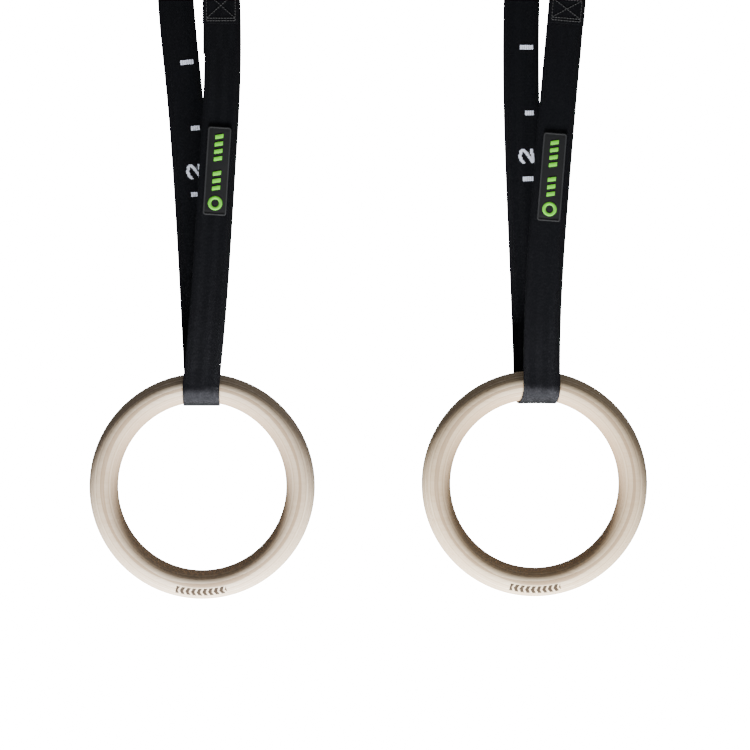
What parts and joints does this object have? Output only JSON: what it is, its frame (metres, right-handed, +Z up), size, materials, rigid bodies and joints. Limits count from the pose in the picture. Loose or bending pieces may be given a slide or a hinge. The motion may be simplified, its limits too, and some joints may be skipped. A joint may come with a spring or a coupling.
{
  "type": "gymnastics rings",
  "caption": "Pair of wooden gymnastics rings, each hung in a flat webbing strap that passes over an overhead bar and closes with a cam buckle.",
  "frame": {"origin": "on the axis of the overhead bar, midway between the two straps", "axes": "+X along the bar to the right-hand ring, -Y towards the front where the buckles and labels are, +Z up"},
  "size_m": [0.581, 0.0673, 0.8413],
  "materials": {
    "birch": "sanded birch plywood, unvarnished",
    "webbing": "woven polyester webbing",
    "scale_yarn": "woven in white yarn",
    "thread": "lockstitch thread",
    "label_rubber": "moulded, matt",
    "buckle_metal": "cast, satin plated",
    "pin_steel": "plated"
  },
  "bodies": {
    "left_bar_seat": {"left_bar_loop": "webbing"},
    "left_strap_top": {"left_front_strand_top": "webbing", "left_rear_strand_top": "webbing"},
    "left_strap_upper": {"left_numbered_strand": "webbing", "left_tail": "webbing", "left_sewn_end": "webbing", "left_sewn_strand": "webbing", "left_rear_strand_upper": "webbing", "left_box_stitch": "thread", "left_buckle_frame": "buckle_metal", "left_sewn_bar": "pin_steel", "left_cam_pin": "pin_steel", "left_cam_spring": "pin_steel", "left_scale_marks_upper": "scale_yarn"},
    "left_cam": {"left_cam_lever": "buckle_metal"},
    "left_strap_lower": {"left_front_strand_lower": "webbing", "left_rear_strand_lower": "webbing", "left_label": "label_rubber", "left_scale_marks_lower": "scale_yarn", "left_scale_numeral": "scale_yarn"},
    "left_sling": {"left_sling": "webbing"},
    "left_ring": {"left_ring": "birch"},
    "right_bar_seat": {"right_bar_loop": "webbing"},
    "right_strap_top": {"right_front_strand_top": "webbing", "right_rear_strand_top": "webbing"},
    "right_strap_upper": {"right_numbered_strand": "webbing", "right_tail": "webbing", "right_sewn_end": "webbing", "right_sewn_strand": "webbing", "right_rear_strand_upper": "webbing", "right_box_stitch": "thread", "right_buckle_frame": "buckle_metal", "right_sewn_bar": "pin_steel", "right_cam_pin": "pin_steel", "right_cam_spring": "pin_steel", "right_scale_marks_upper": "scale_yarn"},
    "right_cam": {"right_cam_lever": "buckle_metal"},
    "right_strap_lower": {"right_front_strand_lower": "webbing", "right_rear_strand_lower": "webbing", "right_label": "label_rubber", "right_scale_marks_lower": "scale_yarn", "right_scale_numeral": "scale_yarn"},
    "right_sling": {"right_sling": "webbing"},
    "right_ring": {"right_ring": "birch"}
  },
  "joints": [
    {"name": "left_swing", "type": "hinge", "parent": "left_bar_seat", "child": "left_strap_top", "pos_m": [-0.1705, 0, 0], "axis": [1, 0, 0], "range_deg": [-75, 75]},
    {"name": "left_side_swing", "type": "hinge", "parent": "left_strap_top", "child": "left_strap_upper", "pos_m": [-0.1705, 0, 0], "axis": [0, 1, 0], "range_deg": [-8, 20]},
    {"name": "left_cam_release", "type": "hinge", "parent": "left_strap_upper", "child": "left_cam", "pos_m": [-0.152, -0.03119, -0.156], "axis": [-1, 0, 0], "range_deg": [0, 28], "stiffness_Nm_per_rad": 0.15, "springref_deg": -20.05},
    {"name": "left_turn", "type": "hinge", "parent": "left_strap_upper", "child": "left_strap_lower", "pos_m": [-0.173, 0, -0.278], "axis": [0, 0, 1], "range_deg": [-90, 90], "stiffness_Nm_per_rad": 0.05},
    {"name": "left_tilt", "type": "hinge", "parent": "left_strap_lower", "child": "left_sling", "pos_m": [-0.173, 0, -0.6035], "axis": [1, 0, 0], "range_deg": [-75, 75]},
    {"name": "left_spin", "type": "hinge", "parent": "left_sling", "child": "left_ring", "pos_m": [-0.173, 0, -0.706], "axis": [0, 1, 0], "continuous": true},
    {"name": "ring_spacing", "type": "slide", "parent": "left_bar_seat", "child": "right_bar_seat", "axis": [1, 0, 0], "range_m": [-0.08, 0.25]},
    {"name": "right_swing", "type": "hinge", "parent": "right_bar_seat", "child": "right_strap_top", "pos_m": [0.178, 0, 0], "axis": [1, 0, 0], "range_deg": [-75, 75]},
    {"name": "right_side_swing", "type": "hinge", "parent": "right_strap_top", "child": "right_strap_upper", "pos_m": [0.178, 0, 0], "axis": [0, 1, 0], "range_deg": [-20, 8]},
    {"name": "right_cam_release", "type": "hinge", "parent": "right_strap_upper", "child": "right_cam", "pos_m": [0.20916, -0.03119, -0.16361], "axis": [-0.9963, 0, 0.0854], "range_deg": [0, 28], "stiffness_Nm_per_rad": 0.15, "springref_deg": -20.05},
    {"name": "right_turn", "type": "hinge", "parent": "right_strap_upper", "child": "right_strap_lower", "pos_m": [0.173, 0, -0.2754], "axis": [0, 0, 1], "range_deg": [-90, 90], "stiffness_Nm_per_rad": 0.05},
    {"name": "right_tilt", "type": "hinge", "parent": "right_strap_lower", "child": "right_sling", "pos_m": [0.173, 0, -0.6009], "axis": [1, 0, 0], "range_deg": [-75, 75]},
    {"name": "right_spin", "type": "hinge", "parent": "right_sling", "child": "right_ring", "pos_m": [0.173, 0, -0.7034], "axis": [0, 1, 0], "continuous": true}
  ]
}
